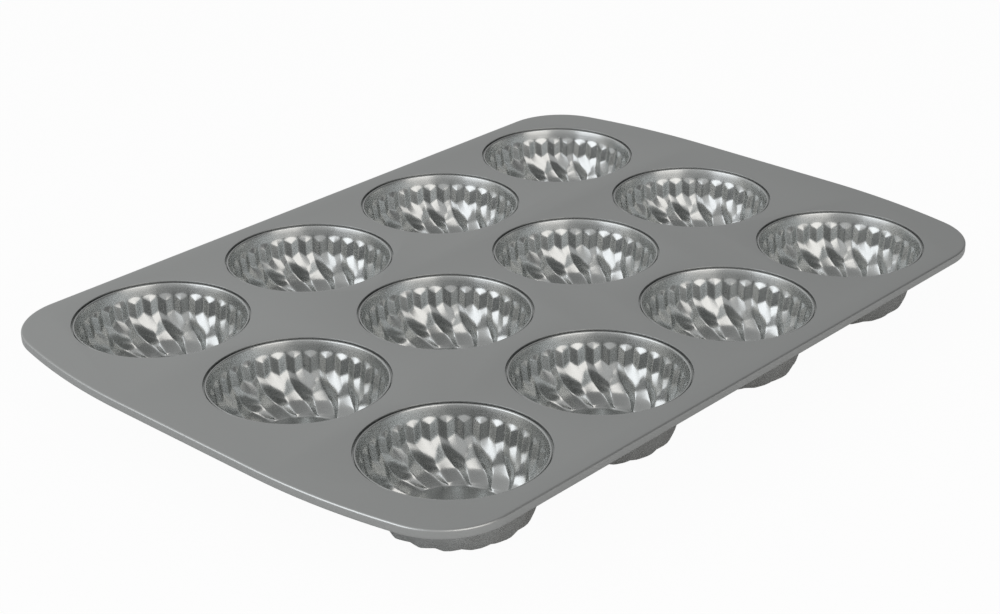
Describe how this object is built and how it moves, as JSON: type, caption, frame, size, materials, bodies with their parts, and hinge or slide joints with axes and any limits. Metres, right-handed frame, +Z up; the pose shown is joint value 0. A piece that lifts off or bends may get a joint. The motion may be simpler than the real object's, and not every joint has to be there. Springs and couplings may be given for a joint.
{
  "type": "fluted cake cup pan",
  "caption": "Rectangular baking pan with a folded edge and rows of deep round cups with swirled flutes, for baking small fluted cakes.",
  "frame": {"origin": "middle of the pan on the plane its cups stand on", "axes": "+X along the long side, +Y along the short side, +Z up out of the cups"},
  "size_m": [0.4, 0.282, 0.032],
  "materials": {
    "sheet_steel": "satin grey non-stick coat on steel",
    "cup_steel": "semi-gloss grey non-stick coat on steel"
  },
  "bodies": {
    "root": {"tray_sheet": "sheet_steel", "cup_1_1": "cup_steel", "cup_1_2": "cup_steel", "cup_1_3": "cup_steel", "cup_2_1": "cup_steel", "cup_2_2": "cup_steel", "cup_2_3": "cup_steel", "cup_3_1": "cup_steel", "cup_3_2": "cup_steel", "cup_3_3": "cup_steel", "cup_4_1": "cup_steel", "cup_4_2": "cup_steel", "cup_4_3": "cup_steel"}
  },
  "joints": []
}
